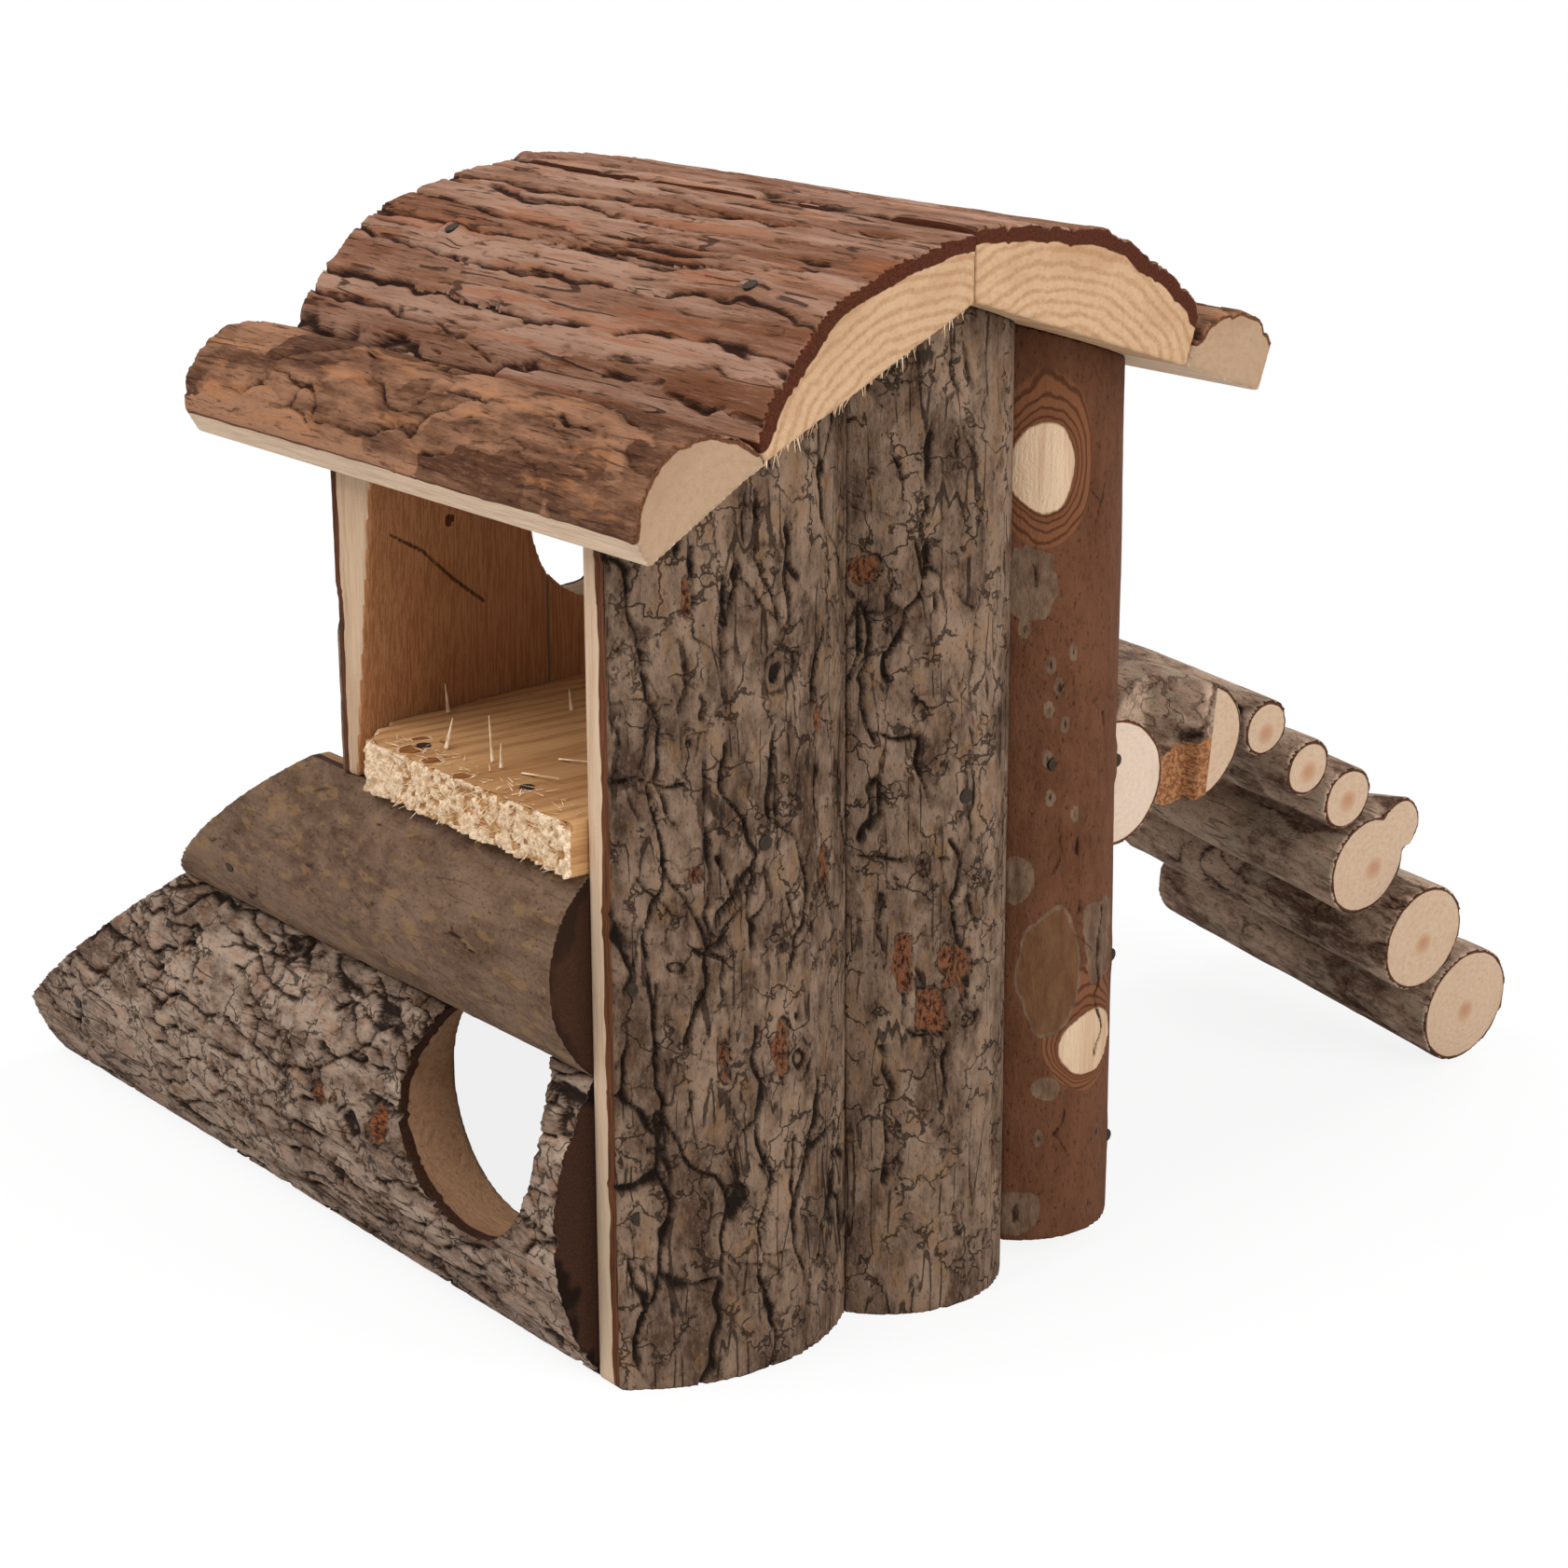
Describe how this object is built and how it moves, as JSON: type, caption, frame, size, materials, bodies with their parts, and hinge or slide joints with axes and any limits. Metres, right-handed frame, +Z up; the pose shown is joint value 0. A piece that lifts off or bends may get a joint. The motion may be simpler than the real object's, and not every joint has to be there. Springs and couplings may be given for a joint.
{
  "type": "wooden hamster house",
  "caption": "Hamster house nailed from half-log slabs with the bark on: a ground room with a round entry, a tower room with a gable roof, a ramp and a bendable log bridge.",
  "frame": {"origin": "on the ground, in the foot of the tall wall's middle slab, right under the roof ridge", "axes": "+X out of the tall wall's bark side, +Y from the tower's open front to the bridge behind it, +Z up"},
  "size_m": [0.262, 0.2896, 0.2257],
  "materials": {
    "tall_wall_bark": "grey-brown bark outside, planed wood inside",
    "window_wall_bark": "brown bark outside, planed wood inside",
    "front_wall_bark": "light grey-brown scaly bark outside, planed wood inside",
    "rear_wall_bark": "grey-brown bark outside, planed wood inside",
    "ramp_bark": "grey-brown bark on top, planed wood below",
    "roof_bark": "reddish-brown furrowed bark, pale sawn ends",
    "sawn_plank": "rough sawn wood",
    "branch_bark": "smooth bark, pale cut ends",
    "steel": "dull drawn wire"
  },
  "bodies": {
    "house": {"floor_nails": "steel", "front_eave_slab": "roof_bark", "front_wall_lower_slab": "front_wall_bark", "front_wall_nails": "steel", "front_wall_upper_slab": "front_wall_bark", "ramp_lower_slab": "ramp_bark", "ramp_middle_slab": "ramp_bark", "ramp_upper_slab": "ramp_bark", "rear_eave_slab": "roof_bark", "rear_wall_lower_slab": "rear_wall_bark", "rear_wall_nails": "steel", "rear_wall_upper_slab": "rear_wall_bark", "roof_front_slab": "roof_bark", "roof_nails": "steel", "roof_rear_slab": "roof_bark", "sill_log": "branch_bark", "sill_wires": "steel", "tall_wall_front_slab": "tall_wall_bark", "tall_wall_middle_slab": "tall_wall_bark", "tall_wall_nails": "steel", "tall_wall_rear_slab": "tall_wall_bark", "tower_floor_plank": "sawn_plank", "window_wall_front_slab": "window_wall_bark", "window_wall_middle_slab": "window_wall_bark", "window_wall_nails": "steel", "window_wall_rear_slab": "window_wall_bark"},
    "knotted_log": {"knotted_log": "branch_bark", "knotted_log_wires": "steel"},
    "bridge_rod_top": {"bridge_rod_top": "branch_bark", "bridge_rod_top_wires": "steel"},
    "bridge_rod_upper": {"bridge_rod_upper": "branch_bark", "bridge_rod_upper_wires": "steel"},
    "bridge_rod_middle": {"bridge_rod_middle": "branch_bark", "bridge_rod_middle_wires": "steel"},
    "forked_rod": {"forked_rod": "branch_bark", "forked_rod_wires": "steel"},
    "bridge_rod_lower": {"bridge_rod_lower": "branch_bark", "bridge_rod_lower_wires": "steel"},
    "bridge_rod_foot": {"bridge_rod_foot": "branch_bark", "bridge_rod_foot_wires": "steel"}
  },
  "joints": [
    {"name": "knotted_log_bend", "type": "hinge", "parent": "house", "child": "knotted_log", "pos_m": [-0.01189, 0.08256, 0.09853], "axis": [0.9945, 0, -0.1045], "range_deg": [0, 20]},
    {"name": "bridge_rod_top_bend", "type": "hinge", "parent": "knotted_log", "child": "bridge_rod_top", "pos_m": [-0.01184, 0.11232, 0.099], "axis": [0.9945, 0, -0.1045], "range_deg": [0, 20]},
    {"name": "bridge_rod_upper_bend", "type": "hinge", "parent": "bridge_rod_top", "child": "bridge_rod_upper", "pos_m": [-0.01243, 0.12607, 0.09345], "axis": [0.9945, 0, -0.1045], "range_deg": [0, 20]},
    {"name": "bridge_rod_middle_bend", "type": "hinge", "parent": "bridge_rod_upper", "child": "bridge_rod_middle", "pos_m": [-0.01344, 0.13802, 0.08382], "axis": [0.9945, 0, -0.1045], "range_deg": [0, 20]},
    {"name": "forked_rod_bend", "type": "hinge", "parent": "bridge_rod_middle", "child": "forked_rod", "pos_m": [-0.01479, 0.14969, 0.07097], "axis": [0.9945, 0, -0.1045], "range_deg": [0, 20]},
    {"name": "bridge_rod_lower_bend", "type": "hinge", "parent": "forked_rod", "child": "bridge_rod_lower", "pos_m": [-0.01708, 0.16521, 0.04913], "axis": [0.9945, 0, -0.1045], "range_deg": [0, 20]},
    {"name": "bridge_rod_foot_bend", "type": "hinge", "parent": "bridge_rod_lower", "child": "bridge_rod_foot", "pos_m": [-0.01933, 0.18381, 0.02779], "axis": [0.9945, 0, -0.1045], "range_deg": [0, 20]}
  ]
}
